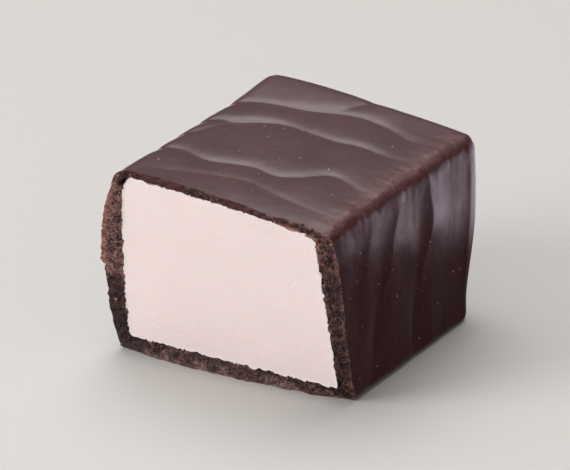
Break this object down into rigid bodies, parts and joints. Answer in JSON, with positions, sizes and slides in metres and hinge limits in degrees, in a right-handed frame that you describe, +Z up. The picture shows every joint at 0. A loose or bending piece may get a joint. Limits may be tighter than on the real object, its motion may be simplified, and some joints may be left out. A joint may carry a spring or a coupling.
{
  "type": "glazed pastila candy",
  "caption": "Cut half of a bar-shaped candy: pale pink pastila in a rippled dark chocolate glaze, open at the cut face and resting on its flat underside.",
  "frame": {"origin": "middle of the flat underside, halfway between the cut edge of the top and the far end", "axes": "+Z up, -Y out of the cut face, +X to the right when looking at the cut face"},
  "size_m": [0.0267, 0.0284, 0.0209],
  "materials": {
    "chocolate_glaze": "satin",
    "pastila": "matte, finely porous"
  },
  "bodies": {
    "root": {"glaze": "chocolate_glaze", "pastila": "pastila"}
  },
  "joints": []
}
